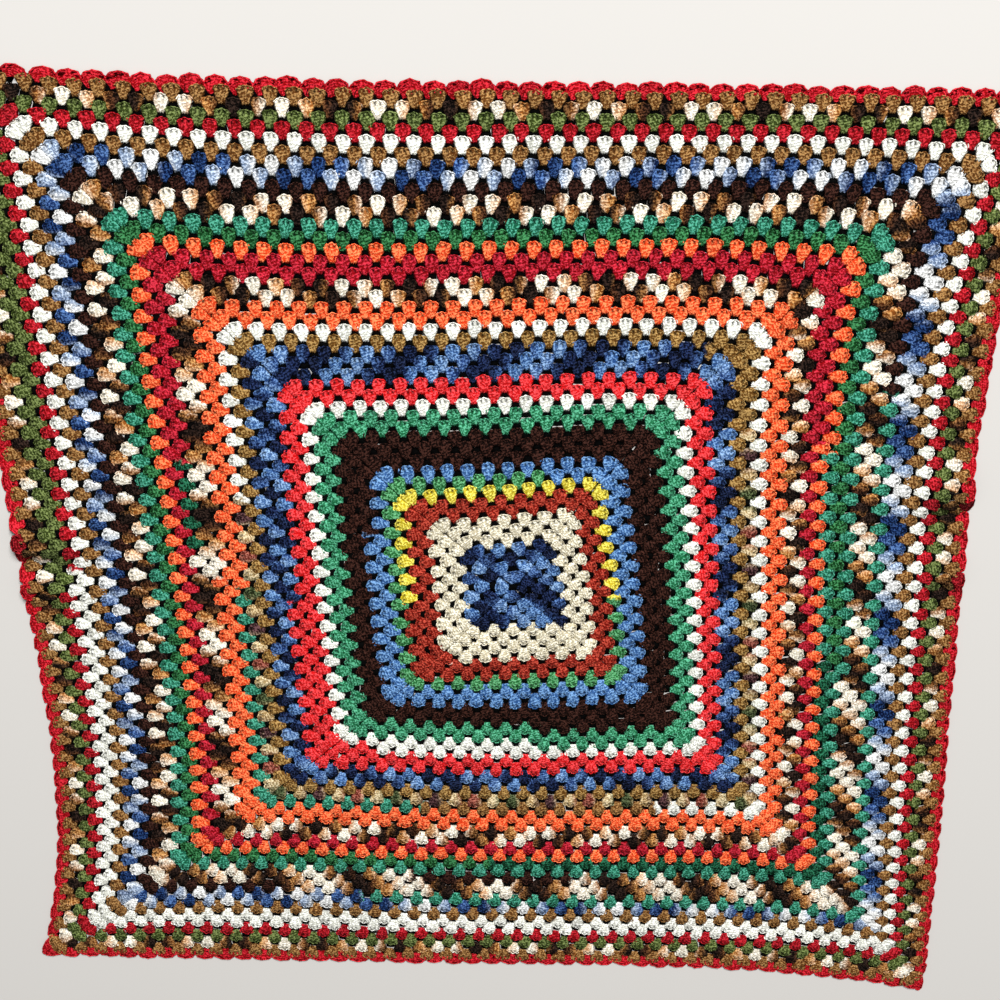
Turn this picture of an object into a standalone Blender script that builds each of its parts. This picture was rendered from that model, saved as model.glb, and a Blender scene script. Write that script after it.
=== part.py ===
"""Granny square blanket, crocheted in one long spiral and laid out flat, in metres, +Z up.

The work starts in the middle and runs clockwise in laps of four sides: down the right side,
along the bottom, up the left side and back along the top.  Each lap is one row of clusters
further out.  The blanket is hand made and laid by hand, so its sides bow and its two long
edges lie in low ridges.  The first solid is the worked cloth, and the second is the red shell
edging around it.
"""

import bpy
import bmesh
import numpy as np
from collections import namedtuple

# ---- Driving dimensions, in metres unless a name says otherwise --------------------------

CLOTH_THICKNESS = 0.004
PIECE_GAP = 0.0005
LAP_PITCH = 0.014

# The cloth's own laps end here, counted on the right, bottom and left sides.  The top side is
# one lap behind, because the spiral steps outward at the top right corner.
CLOTH_LAST_LAP = 46.5
EDGING_VALLEY_LAP = 47.05
EDGING_PEAK_LAP = 47.45
LAPS_THE_TOP_IS_BEHIND = 1.0
TOP_STEP_FRACTION = 0.12

# The start of the spiral, measured from the middle of the finished blanket's box.
SPIRAL_START = (0.0262, -0.0093)

# Where the four corners of a lap lie, from the start of the spiral, in millimetres.
Corners = namedtuple("Corners", "lap top_left top_right bottom_right bottom_left")
CORNERS_MM = (
    Corners(0, (0, 0), (8, 2), (0, 0), (0, 0)),
    Corners(10, (-141, 130), (108, 149), (130, -123), (-123, -136)),
    Corners(15, (-215, 210), (173, 222), (202, -199), (-191, -200)),
    Corners(20, (-282, 283), (235, 290), (269, -270), (-256, -262)),
    Corners(30, (-421, 442), (381, 426), (397, -425), (-406, -396)),
    Corners(40, (-566, 605), (546, 568), (529, -580), (-575, -539)),
    Corners(48, (-674, 715), (657, 678), (619, -699), (-699, -630)),
)

# How far each side bows outward from the straight line between its corners, in millimetres,
# at the first quarter, the middle and the last quarter of the side, in working order.
Bow = namedtuple("Bow", "lap right bottom left top")
BOWS_MM = (
    Bow(0, (0, 0, 0), (0, 0, 0), (0, 0, 0), (0, 0, 0)),
    Bow(10, (1, 5, 4), (2, 2, 2), (3, 4, 4), (-1, -1, 2)),
    Bow(15, (4, 5, 4), (6, 10, 8), (5, 6, 5), (3, 2, 5)),
    Bow(20, (4, 5, 3), (4, 10, 9), (6, 7, 5), (2, 4, 7)),
    Bow(30, (-11, -6, -2), (-5, 2, 1), (-5, -4, 2), (-7, 1, 9)),
    Bow(40, (-31, -27, -15), (-19, -14, -15), (-31, -24, -10), (-12, -6, 5)),
    Bow(48, (-38, -32, -14), (-28, -20, -9), (-51, -35, -15), (-12, -9, -5)),
)

# Low ridges in which the two long edges lie.  A ridge is highest at the edge and dies away
# inward.  Its fall towards the side's end is steeper or gentler than its rise.
Ridge = namedtuple("Ridge", "side middle height rise_width fall_width first_lap")
RIDGES = (
    Ridge("right", 0.385, 0.017, 0.034, 0.015, 38.0),
    Ridge("right", 0.475, 0.010, 0.020, 0.014, 40.0),
    Ridge("left", 0.470, 0.013, 0.024, 0.015, 38.0),
    Ridge("left", 0.520, 0.017, 0.015, 0.034, 38.0),
)
RIDGE_SHORTENING = 0.31
RIDGE_PASS_WIDTHS = 3.0
RIDGE_ZONE = 0.06

SIDES = ("right", "bottom", "left", "top")
CORNER_CUT = 0.010
SHELLS_PER_SIDE = 46
SHELL_PEAK_FROM = 0.3
SHELL_PEAK_TO = 0.7
PLAIN_STEPS = 26
TOP_STEPS = (10, 14)
RIDGE_STEPS = (13, 18, 13)
RING_LAPS = (6.0, 13.0, 20.0, 27.0, 34.0, 39.0, 42.0, 44.5, CLOTH_LAST_LAP)

CLOTH_COLOUR = (0.30, 0.14, 0.07, 1.0)
EDGING_COLOUR = (0.55, 0.02, 0.03, 1.0)
YARN_ROUGHNESS = 0.9


# ---- Where the cloth lies ---------------------------------------------------------------

def corner(name, lap):
    """A corner's place at a lap, which may lie between two rows of the table."""
    laps = [row.lap for row in CORNERS_MM]
    x = np.interp(lap, laps, [getattr(row, name)[0] for row in CORNERS_MM])
    y = np.interp(lap, laps, [getattr(row, name)[1] for row in CORNERS_MM])
    return np.array([x, y]) / 1000.0


def side_ends(side, lap):
    """The two corners between which a side of a lap runs, in working order."""
    if side == "right":
        return corner("top_right", lap - 1), corner("bottom_right", lap)
    if side == "bottom":
        return corner("bottom_right", lap), corner("bottom_left", lap)
    if side == "left":
        return corner("bottom_left", lap), corner("top_left", lap)
    return corner("top_left", lap), corner("top_right", lap)


def bow(side, lap, along):
    """How far a side stands outward of its straight line, as a smooth curve through the table."""
    laps = [row.lap for row in BOWS_MM]
    quarters = [np.interp(lap, laps, [getattr(row, side)[k] for row in BOWS_MM]) for k in range(3)]
    curve = np.polyfit((0.0, 0.25, 0.5, 0.75, 1.0), (0.0, *quarters, 0.0), 4)
    return np.polyval(curve, along) / 1000.0


def smooth_step(x):
    x = min(max(x, 0.0), 1.0)
    return x * x * (3.0 - 2.0 * x)


def ridge_terms(side, lap, along, length):
    """The height of the ridges at a point, and how far they draw the cloth in along the side."""
    height = 0.0
    plan = along
    for ridge in RIDGES:
        if ridge.side != side:
            continue
        top = ridge.height * smooth_step((lap - ridge.first_lap) / (CLOTH_LAST_LAP - ridge.first_lap))
        from_middle = (along - ridge.middle) * length
        width = ridge.rise_width if from_middle < 0.0 else ridge.fall_width
        height += top * np.exp(-((from_middle / width) ** 2))
        taken = RIDGE_SHORTENING * top**2 * (1.0 / ridge.rise_width + 1.0 / ridge.fall_width)
        passed = smooth_step(0.5 + from_middle / (RIDGE_PASS_WIDTHS * width))
        plan += taken / length * (along - passed)
    return height, plan


def place(side, lap, along):
    """The point of the underside that lies this far along a side of this lap."""
    start, end = side_ends(side, lap)
    length = float(np.linalg.norm(end - start))
    height, plan = ridge_terms(side, lap, along, length)
    direction = (end - start) / length
    outward = np.array([-direction[1], direction[0]])
    x, y = start + (end - start) * plan + outward * bow(side, lap, plan)
    return x + SPIRAL_START[0], y + SPIRAL_START[1], height


def lap_on_side(side, lap, along):
    """The top side is a lap behind the others, and catches up at its top left corner."""
    if side != "top":
        return lap
    return lap - LAPS_THE_TOP_IS_BEHIND * smooth_step(along / TOP_STEP_FRACTION)


def ring(lap, fractions):
    """A closed ring of points around the blanket at one lap."""
    return [
        place(side, lap_on_side(side, lap, along), along)
        for side in SIDES
        for along in fractions[side]
    ]


# ---- Solids -----------------------------------------------------------------------------

def material(name, colour):
    made = bpy.data.materials.new(name)
    made.use_nodes = True
    shader = made.node_tree.nodes["Principled BSDF"]
    shader.inputs["Base Color"].default_value = colour
    shader.inputs["Roughness"].default_value = YARN_ROUGHNESS
    shader.inputs["Metallic"].default_value = 0.0
    return made


def sheet_solid(name, rings, colour, centre=None):
    """A sheet between rings of points, thickened upward into one closed body."""
    bm = bmesh.new()
    rows = [[bm.verts.new(point) for point in points] for points in rings]
    count = len(rows[0])
    for inner, outer in zip(rows, rows[1:]):
        for k in range(count):
            after = (k + 1) % count
            bm.faces.new((inner[k], inner[after], outer[after], outer[k]))
    if centre is not None:
        middle = bm.verts.new(centre)
        for k in range(count):
            bm.faces.new((middle, rows[0][(k + 1) % count], rows[0][k]))
    raised = bmesh.ops.extrude_face_region(bm, geom=bm.faces[:])
    top = [item for item in raised["geom"] if isinstance(item, bmesh.types.BMVert)]
    bmesh.ops.translate(bm, verts=top, vec=(0.0, 0.0, CLOTH_THICKNESS))
    bmesh.ops.triangulate(bm, faces=bm.faces[:])
    bmesh.ops.recalc_face_normals(bm, faces=bm.faces[:])
    mesh = bpy.data.meshes.new(name)
    bm.to_mesh(mesh)
    bm.free()
    mesh.materials.append(material(name, colour))
    made = bpy.data.objects.new(name, mesh)
    bpy.context.scene.collection.objects.link(made)
    return made


def steps(start, end, count):
    return [start + (end - start) * k / count for k in range(count)]


def cloth_fractions():
    """Where the cloth's points lie along each side: close together over the ridges."""
    end = 1.0 - CORNER_CUT
    fractions = {
        "bottom": steps(CORNER_CUT, end, PLAIN_STEPS) + [end],
        "top": steps(CORNER_CUT, TOP_STEP_FRACTION, TOP_STEPS[0])
        + steps(TOP_STEP_FRACTION, end, TOP_STEPS[1])
        + [end],
    }
    for side in ("right", "left"):
        ridges = [ridge for ridge in RIDGES if ridge.side == side]
        low = min(ridge.middle for ridge in ridges) - RIDGE_ZONE
        high = max(ridge.middle for ridge in ridges) + RIDGE_ZONE
        fractions[side] = (
            steps(CORNER_CUT, low, RIDGE_STEPS[0])
            + steps(low, high, RIDGE_STEPS[1])
            + steps(high, end, RIDGE_STEPS[2])
            + [end]
        )
    return fractions


def worked_cloth():
    """The cloth: all the laps of clusters, as one sheet with its ridges."""
    fractions = cloth_fractions()
    rings = [ring(lap, fractions) for lap in RING_LAPS]
    return sheet_solid("granny_cloth", rings, CLOTH_COLOUR, centre=(*SPIRAL_START, 0.0))


def shell_edging():
    """The edging: one round of shells, each a low scallop between two valleys."""
    span = 1.0 - 2.0 * CORNER_CUT
    outline = (
        (0.0, EDGING_VALLEY_LAP),
        (SHELL_PEAK_FROM, EDGING_PEAK_LAP),
        (SHELL_PEAK_TO, EDGING_PEAK_LAP),
    )
    fractions, outer_laps = [], []
    for shell in range(SHELLS_PER_SIDE):
        for part, lap in outline:
            fractions.append(CORNER_CUT + span * (shell + part) / SHELLS_PER_SIDE)
            outer_laps.append(lap)
    fractions.append(1.0 - CORNER_CUT)
    outer_laps.append(EDGING_VALLEY_LAP)
    inner = ring(CLOTH_LAST_LAP + PIECE_GAP / LAP_PITCH, {side: fractions for side in SIDES})
    outer = [
        place(side, lap_on_side(side, lap, along), along)
        for side in SIDES
        for along, lap in zip(fractions, outer_laps)
    ]
    return sheet_solid("shell_edging", [inner, outer], EDGING_COLOUR)


for old in list(bpy.data.objects):
    bpy.data.objects.remove(old)
worked_cloth()
shell_edging()
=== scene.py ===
# %% [markdown]
# # A granny square blanket, worked in one long spiral
#
# The real blanket is crocheted from soft acrylic yarn.  Each stitch group, called a cluster, is
# three tall posts worked into one gap, with three loops across their tops.  The work starts in
# the middle and goes round clockwise, so each lap of the spiral lies one row further out, and a
# red shell edging finishes it.
#
# This lesson builds every cluster as real geometry.  A few small templates are made from rings
# of points, and numpy then lays copies of them along the spiral.  That is far quicker than
# thousands of objects, and the result is a few joined meshes that other programs can read.

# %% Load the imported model
from collections import namedtuple
import math
import bpy
import numpy as np
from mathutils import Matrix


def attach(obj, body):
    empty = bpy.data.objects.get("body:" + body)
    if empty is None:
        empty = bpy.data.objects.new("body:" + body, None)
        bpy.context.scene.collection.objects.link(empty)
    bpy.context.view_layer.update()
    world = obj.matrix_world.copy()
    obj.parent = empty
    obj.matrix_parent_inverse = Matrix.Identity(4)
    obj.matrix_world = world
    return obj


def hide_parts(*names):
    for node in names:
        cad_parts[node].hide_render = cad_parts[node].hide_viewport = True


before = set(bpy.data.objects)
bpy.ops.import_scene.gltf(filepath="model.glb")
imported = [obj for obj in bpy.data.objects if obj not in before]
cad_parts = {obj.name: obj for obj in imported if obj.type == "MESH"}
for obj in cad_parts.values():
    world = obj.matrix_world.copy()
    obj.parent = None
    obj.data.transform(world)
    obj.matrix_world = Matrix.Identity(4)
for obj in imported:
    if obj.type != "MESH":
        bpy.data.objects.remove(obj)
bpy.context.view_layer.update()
SEED = 46
rng = np.random.default_rng(SEED)

# %% [markdown]
# ## Where the cloth lies
#
# A hand-made blanket is never quite square.  Small tables give where the corners of a lap lie,
# how far each side bows outward and how far its stitches have slid along it.  So any point of
# the spiral can be worked out from its side, its lap and how far along the side it is.  A table
# with a few rows that are read with straight interpolation is easier to check and change than a
# long list of points.
#
# The corners, the bows and the ridges are the dimensions of the CAD model, repeated here.  The
# slides are added: they move the stitches, and leave the outline where it is.

# %% The layout tables, in millimetres
SIDES = ("right", "bottom", "left", "top")

Corners = namedtuple("Corners", "lap top_left top_right bottom_right bottom_left")
CORNERS_MM = (
    Corners(0, (0, 0), (8, 2), (0, 0), (0, 0)),
    Corners(10, (-141, 130), (108, 149), (130, -123), (-123, -136)),
    Corners(15, (-215, 210), (173, 222), (202, -199), (-191, -200)),
    Corners(20, (-282, 283), (235, 290), (269, -270), (-256, -262)),
    Corners(30, (-421, 442), (381, 426), (397, -425), (-406, -396)),
    Corners(40, (-566, 605), (546, 568), (529, -580), (-575, -539)),
    Corners(48, (-674, 715), (657, 678), (619, -699), (-699, -630)),
)

# A row of a table of curves: the values of each side at its first quarter, its middle and its
# last quarter, in working order.  At the corners they are 0.
Quarters = namedtuple("Quarters", "lap right bottom left top")

# How far a side bows outward from the straight line between its corners.
BOWS_MM = (
    Quarters(0, (0, 0, 0), (0, 0, 0), (0, 0, 0), (0, 0, 0)),
    Quarters(10, (1, 5, 4), (2, 2, 2), (3, 4, 4), (-1, -1, 2)),
    Quarters(15, (4, 5, 4), (6, 10, 8), (5, 6, 5), (3, 2, 5)),
    Quarters(20, (4, 5, 3), (4, 10, 9), (6, 7, 5), (2, 4, 7)),
    Quarters(30, (-11, -6, -2), (-5, 2, 1), (-5, -4, 2), (-7, 1, 9)),
    Quarters(40, (-31, -27, -15), (-19, -14, -15), (-31, -24, -10), (-12, -6, 5)),
    Quarters(48, (-38, -32, -14), (-28, -20, -9), (-51, -35, -15), (-12, -9, -5)),
)

# How far the stitches of a side have slid forward along it.
SLIDES_MM = (
    Quarters(0, (0, 0, 0), (0, 0, 0), (0, 0, 0), (0, 0, 0)),
    Quarters(20, (0, 0, 0), (0, 0, 0), (0, 0, 0), (0, 0, 0)),
    Quarters(30, (-1, -2, 0), (-3, -3, 3), (3, 1, 1), (1, 2, 1)),
    Quarters(35, (1, 2, 5), (-9, -10, 0), (10, 3, 2), (5, 2, 1)),
    Quarters(40, (4, 1, 5), (-9, -10, -3), (12, 4, 4), (5, 5, 4)),
    Quarters(48, (4, 0, 8), (-7, -10, -6), (11, 5, 5), (7, 7, 6)),
)
print("laps in the table of corners:", [row.lap for row in CORNERS_MM])

# %% The low ridges in which the two long edges lie
# Where a ridge lies along its side, then in metres how high it is and how wide its rise and its
# fall are, and the lap from which it grows.
Ridge = namedtuple("Ridge", "side middle height rise_width fall_width first_lap")
RIDGES = (
    Ridge("right", 0.385, 0.017, 0.034, 0.015, 38.0),
    Ridge("right", 0.475, 0.010, 0.020, 0.014, 40.0),
    Ridge("left", 0.470, 0.013, 0.024, 0.015, 38.0),
    Ridge("left", 0.520, 0.017, 0.015, 0.034, 38.0),
)
# Cloth that climbs over a ridge covers less floor, by this share of its height squared over its
# width.  The stitches are drawn in over this many widths.
RIDGE_SHORTENING = 0.31
RIDGE_PASS_WIDTHS = 3.0
CLOTH_LAST_LAP = 46.5
print("ridges in mm:", [(ridge.side, round(1000 * ridge.height)) for ridge in RIDGES])


# %% From side, lap and distance along to a point on the floor
# Where the spiral starts, in metres from the middle of the blanket's box.
SPIRAL_START = np.array([0.0262, -0.0093, 0.0])
CURVE_KNOTS = (0.0, 0.25, 0.5, 0.75, 1.0)


def smooth_step(x):
    x = np.clip(x, 0.0, 1.0)
    return x * x * (3.0 - 2.0 * x)


def grown(lap, first_lap):
    """How much of a ridge or a hollow there is at a lap: none at its first, all at the edge."""
    return smooth_step((lap - first_lap) / (CLOTH_LAST_LAP - first_lap))


def corner(name, lap):
    """The corner's place at these laps, in metres from the start of the spiral."""
    laps = [row.lap for row in CORNERS_MM]
    both = [np.interp(lap, laps, [getattr(row, name)[k] for row in CORNERS_MM]) for k in (0, 1)]
    return np.stack(both, -1) / 1000.0


def side_ends(side, lap):
    """The corners where a side starts and ends.  The right side starts one lap further in."""
    if side == "right":
        return corner("top_right", lap - 1.0), corner("bottom_right", lap)
    if side == "bottom":
        return corner("bottom_right", lap), corner("bottom_left", lap)
    if side == "left":
        return corner("bottom_left", lap), corner("top_left", lap)
    return corner("top_left", lap), corner("top_right", lap)


def curve(table, side, lap, along):
    """The one smooth curve through a table's three values and a zero at both corners."""
    laps = [row.lap for row in table]
    out = 0.0
    for k, knot in enumerate(CURVE_KNOTS[1:4]):
        size = np.interp(lap, laps, [getattr(row, side)[k] for row in table])
        for other in CURVE_KNOTS:
            if other != knot:
                size = size * (along - other) / (knot - other)
        out = out + size
    return out / 1000.0


def place(side, lap, along):
    """The underside's point at this lap and this fraction along the side."""
    lap, along = np.broadcast_arrays(np.asarray(lap, float), np.asarray(along, float))
    start, end = side_ends(side, lap)
    length = np.linalg.norm(end - start, axis=-1)
    along = along + curve(SLIDES_MM, side, lap, along) / length
    height, plan = np.zeros_like(along), along.copy()
    for ridge in RIDGES:
        if ridge.side != side:
            continue
        top = ridge.height * grown(lap, ridge.first_lap)
        from_middle = (along - ridge.middle) * length
        width = np.where(from_middle < 0.0, ridge.rise_width, ridge.fall_width)
        height = height + top * np.exp(-((from_middle / width) ** 2))
        taken = RIDGE_SHORTENING * top**2 * (1.0 / ridge.rise_width + 1.0 / ridge.fall_width)
        passed = smooth_step(0.5 + from_middle / (RIDGE_PASS_WIDTHS * width))
        plan = plan + taken / length * (along - passed)
    direction = (end - start) / length[..., None]
    outward = np.stack([-direction[..., 1], direction[..., 0]], -1)
    bow = curve(BOWS_MM, side, lap, plan)
    flat = start + (end - start) * plan[..., None] + outward * bow[..., None]
    return np.concatenate([flat, height[..., None]], -1) + SPIRAL_START


print("an outer corner in mm:", (1000 * place("bottom", CLOTH_LAST_LAP, 0.0)).round())

# %% [markdown]
# ## Templates from rings
#
# A stitch is a bundle of yarn, so each of its parts is lofted: rings of corners one after the
# other, quads between the rings, and a fan of triangles on both ends.  Blender's curve bevel
# could make the tubes, but a loft in numpy gives the corners in a known order, which the colours
# and the map rely on.

# %% Loft rings
# An end is drawn out past its ring by this share of the last step, on a part of this height.
END_BULGE = 0.35
END_BULGE_HEIGHT = 0.006


def end_point(ring, before):
    """The point that closes an end, a little past its ring."""
    step = ring.mean(0) - before.mean(0)
    return ring.mean(0) + END_BULGE * step * np.ptp(ring[:, 2]) / END_BULGE_HEIGHT


# The shade of each point is painted shade: the shader darkens the yarn's colour by it.
class Shape:
    """Lofted parts joined in one template: points, faces and what the shader reads of them.

    For each point, post says which post of the cluster it belongs to, from -1 to 1, and shade
    how deep in a crease it lies, from 0 to 1.  For each corner of a face, ply says how far round
    and along its part it lies, and cells where it lies on the baking map."""

    def __init__(self):
        self.points, self.post, self.shade = [], [], []
        self.faces, self.ply, self.cells = [], [], []
        self.count = 0

    def loft(self, rings, run, cell, post, shade):
        """Add one part.  rings is rings x corners x 3, run the length so far at each ring, and
        post and shade are rings x corners.  cell is this part of the map's square: left, bottom,
        right, top."""
        many, sides = rings.shape[:2]
        left, bottom, right, top = cell
        ends = [end_point(rings[0], rings[1]), end_point(rings[-1], rings[-2])]
        self.points.append(np.concatenate([rings.reshape(-1, 3), ends]))
        self.post.append(np.concatenate([post.ravel(), [post[0].mean(), post[-1].mean()]]))
        self.shade.append(np.concatenate([shade.ravel(), [shade[0].mean(), shade[-1].mean()]]))

        def face(corners, grid):
            """A face, and for each corner its column round the part and its row along it.  The
            two ends are the rows before and after those of the rings."""
            self.faces.append(corners)
            for column, row in grid:
                self.ply.append((column / sides, run[min(max(row - 1, 0), many - 1)]))
                self.cells.append((left + (right - left) * column / sides,
                                   bottom + (top - bottom) * row / (many + 1)))

        first_ring, first_end = self.count, self.count + many * sides
        last_ring = first_end - sides
        for k in range(many - 1):
            for j in range(sides):
                a = first_ring + k * sides + j
                b = first_ring + k * sides + (j + 1) % sides
                face((a, a + sides, b + sides, b),
                     ((j, k + 1), (j, k + 2), (j + 1, k + 2), (j + 1, k + 1)))
        for j in range(sides):
            after = (j + 1) % sides
            face((first_end, first_ring + j, first_ring + after),
                 ((j + 0.5, 0), (j, 1), (j + 1, 1)))
            face((first_end + 1, last_ring + after, last_ring + j),
                 ((j + 0.5, many + 1), (j + 1, many), (j, many)))
        self.count += many * sides + 2

    def done(self):
        self.points, self.post = np.concatenate(self.points), np.concatenate(self.post)
        self.shade = np.clip(np.concatenate(self.shade), 0.0, 1.0)
        self.ply, self.cells = np.array(self.ply), np.array(self.cells)
        return self


# %% Sweep a tube along a path
# The underside of a tube gets this much painted shade.
UNDERSIDE_SHADE = 0.6


def one_each(value, count):
    """One value for all points of a path, or a list with one for each, as an array."""
    return np.broadcast_to(np.asarray(value, float), (count,))


def add_tube(shape, path, radii, sides, cell, post, shade, flatness=1.0):
    """Add a tube to a shape.  Its path is in metres: across, outward, up."""
    path = np.asarray(path, float)
    tangent = np.gradient(path, axis=0)
    tangent /= np.linalg.norm(tangent, axis=1, keepdims=True)
    across = np.cross(tangent, (0.0, 0.0, 1.0))
    across /= np.linalg.norm(across, axis=1, keepdims=True)
    up = np.cross(across, tangent)
    turn = -math.pi / 2 + 2 * math.pi * np.arange(sides) / sides
    sideways = np.cos(turn)[None, :, None] * across[:, None]
    upward = flatness * np.sin(turn)[None, :, None] * up[:, None]
    rings = path[:, None] + one_each(radii, len(path))[:, None, None] * (sideways + upward)
    run = np.concatenate([[0.0], np.cumsum(np.linalg.norm(np.diff(path, axis=0), axis=1))])
    under = UNDERSIDE_SHADE * np.clip(-np.sin(turn), 0.0, 1.0)
    shades = one_each(shade, len(path))[:, None] + under
    posts = np.repeat(one_each(post, len(path))[:, None], sides, axis=1)
    shape.loft(rings, run, cell, posts, shades)


# %% [markdown]
# ## One cluster
#
# The three posts of a cluster are hooked into one gap and spread like a fan, side by side.  They
# could be three tubes, but where those meet they would cut through each other, so they are one
# body with three ribs.  A tube runs over them in three small arches, which are the loops of the
# stitches' tops.  The pits under the arches and the valleys between the posts are what the eye
# reads as crochet, so they are modelled, and painted shade darkens them as well.

# %% The body of a cluster: its three posts
PITCH = 0.0275
HEIGHT = 0.0230
# How far parts of a stitch wander from their places: across, outward and up.
LUMP = (0.00030, 0.00035, 0.00035)
# Corners round the body: how far across, as a share of the half width, which part of the ring
# it is, and how much painted shade its crease gets.  They start below and go round.
BodyCorner = namedtuple("BodyCorner", "across part shade")
BODY_CORNERS = (
    BodyCorner(0.0, "under", 0.6), BodyCorner(1.0, "side", 0.30),
    BodyCorner(0.66, "rib", 0.0), BodyCorner(0.33, "valley", 0.22),
    BodyCorner(0.0, "rib", 0.0), BodyCorner(-0.33, "valley", 0.22),
    BodyCorner(-0.66, "rib", 0.0), BodyCorner(-1.0, "side", 0.30),
)
# Rings from the foot outward: the share of the height, then in millimetres the half width, and
# how high the underside, the sides, the ribs and the valleys stand.
BodyRing = namedtuple("BodyRing", "outward half under side rib valley")
BODY_RINGS = (
    BodyRing(0.02, 4.5, 1.8, 2.6, 3.8, 2.9),
    BodyRing(0.17, 5.7, 1.2, 2.4, 4.1, 3.2),
    BodyRing(0.34, 7.7, 0.7, 2.1, 4.4, 3.5),
    BodyRing(0.50, 9.2, 0.5, 1.9, 4.5, 3.6),
    BodyRing(0.66, 9.9, 0.4, 1.8, 4.4, 3.5),
    BodyRing(0.80, 9.5, 0.4, 1.8, 3.9, 3.0),
    BodyRing(0.94, 7.6, 0.5, 1.6, 2.8, 2.4),
)
BODY_CELL = (0.02, 0.02, 0.70, 0.98)
# In the foot's ring the posts reach inward like fingers, and the valleys stay back.
FINGERS = {"rib": -0.0012, "valley": 0.0012}
MIDDLE_RIB = 4
MIDDLE_RIB_RISE = 0.0004
# The last ring lies under the loops, and gets this much more painted shade.
LAST_RING_SHADE = 0.15
# The side posts' middles lie where the share across, times this, is 1.
POSTS_ACROSS = 1.2
# The two pits below the loops: the corner of the body, and how much painted shade it gets.
PIT_RING = 5
PITS = ((3, 0.95), (5, 1.0))
PIT_DEPTH = 0.0007


def add_body(shape, vary):
    """The posts, with their lumps moved a little by vary, a random generator."""
    rings = np.zeros((len(BODY_RINGS), len(BODY_CORNERS), 3))
    for k, ring in enumerate(BODY_RINGS):
        for j, at in enumerate(BODY_CORNERS):
            across, up = at.across * ring.half / 1000.0, getattr(ring, at.part) / 1000.0
            rings[k, j] = (across, ring.outward * HEIGHT, up)
    rings[0, :, 1] += [FINGERS.get(at.part, 0.0) for at in BODY_CORNERS]
    rings[:, MIDDLE_RIB, 2] += MIDDLE_RIB_RISE
    rings += vary.normal(0.0, 1.0, rings.shape) * LUMP
    post = np.tile([at.across * POSTS_ACROSS for at in BODY_CORNERS], (len(BODY_RINGS), 1))
    shade = np.tile([at.shade for at in BODY_CORNERS], (len(BODY_RINGS), 1))
    # The last ring and the pits get painted shade, and the pits are pressed a little deeper too.
    shade[-1] += LAST_RING_SHADE
    for j, dark in PITS:
        shade[PIT_RING, j] = dark
        rings[PIT_RING, j, 2] -= PIT_DEPTH
    run = np.array([ring.outward for ring in BODY_RINGS]) * HEIGHT
    shape.loft(rings, run, BODY_CELL, post, shade)


# %% The loops over a cluster
# Their path, across in millimetres and outward as a share of the height, with the points that
# lie in the valleys between the arches.
LOOP_PATH = (
    (-9.0, 0.68), (-9.3, 0.77), (-8.1, 0.87), (-5.6, 0.935),
    (-3.6, 0.885), (-2.4, 0.965), (0.0, 1.0), (2.4, 0.965),
    (3.6, 0.885), (5.6, 0.935), (8.1, 0.87), (9.3, 0.77), (9.0, 0.68),
)
LOOP_VALLEYS = [4, 8]
LOOP_VALLEY_DEPTH = 0.0007
LOOP_SIDES = 3
LOOP_RADIUS = 0.00100
LOOP_RADIUS_VARIATION = 0.08
LOOP_END_RADIUS_SHARE = 0.8
LOOP_LIFT = 0.0034
LOOP_END_LIFT = 0.0020
LOOP_FLATNESS = 0.8
LOOP_CELL = (0.74, 0.10, 0.98, 0.98)
# How far from the middle the loops of the side posts lie.
LOOP_POST_DISTANCE = 0.0069


def add_loops(shape, vary):
    path = np.array([(across / 1000.0, share * HEIGHT, LOOP_LIFT) for across, share in LOOP_PATH])
    path[[0, -1], 2] = LOOP_END_LIFT
    path[LOOP_VALLEYS, 2] -= LOOP_VALLEY_DEPTH
    path += vary.normal(0.0, 1.0, path.shape) * LUMP
    radii = LOOP_RADIUS * (1.0 + vary.normal(0.0, LOOP_RADIUS_VARIATION, len(path)))
    radii[[0, -1]] *= LOOP_END_RADIUS_SHARE
    post = path[:, 0] / LOOP_POST_DISTANCE
    add_tube(shape, path, radii, LOOP_SIDES, LOOP_CELL, post, 0.0, LOOP_FLATNESS)


# %% [markdown]
# ## What holds a cluster's foot
#
# A cluster hangs in loops that lie deep in the gap inside it, nearly flat on the floor.  They
# could be modelled as a chain, but they lie in the dark, where hardly anything of them shows.  So
# one wide, flat tube stands for them and closes the gap, and it is coloured near-black as painted
# shade, so that the floor doesn't shine through and the gap reads as a shadowed hole.

# %% The foot's loops, and whole clusters
# They are given as outward and half width, and reach further inward in the first laps, which
# are worked tightly.
FOOT_LOOPS = ((-0.0073, 0.0068), (0.0010, 0.0050))
TIGHT_FOOT_LOOPS = ((-0.0102, 0.0074), (0.0014, 0.0054))
TIGHT_LAPS = 16
FOOT_LOOP_SIDES = 4
FOOT_LOOP_POINTS = 2 * FOOT_LOOP_SIDES + 2
FOOT_LOOP_LIFT = 0.0009
FOOT_LOOP_FLATNESS = 0.12
FOOT_LOOP_CELL = (0.74, 0.02, 0.98, 0.08)
VARIANTS = 12


def add_foot_loops_in_painted_shade(shape, loops, cell, flatness):
    """The flat tube.  It comes last, so its points are the last FOOT_LOOP_POINTS of a shape."""
    path = [(0.0, outward, FOOT_LOOP_LIFT) for outward, _ in loops]
    # Its shade is full, so the tube is drawn near-black: painted shade in the gap.
    add_tube(shape, path, [half for _, half in loops], FOOT_LOOP_SIDES, cell, 0.0, 1.0, flatness)


def cluster_shape(vary, loops):
    shape = Shape()
    add_body(shape, vary)
    add_loops(shape, vary)
    add_foot_loops_in_painted_shade(shape, loops, FOOT_LOOP_CELL, FOOT_LOOP_FLATNESS)
    return shape.done()


clusters = [cluster_shape(rng, FOOT_LOOPS) for _ in range(VARIANTS)]
clusters += [cluster_shape(rng, TIGHT_FOOT_LOOPS) for _ in range(VARIANTS)]
triangles = sum(len(face) - 2 for face in clusters[0].faces)
print("one cluster:", len(clusters[0].points), "points,", triangles, "triangles")

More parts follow.
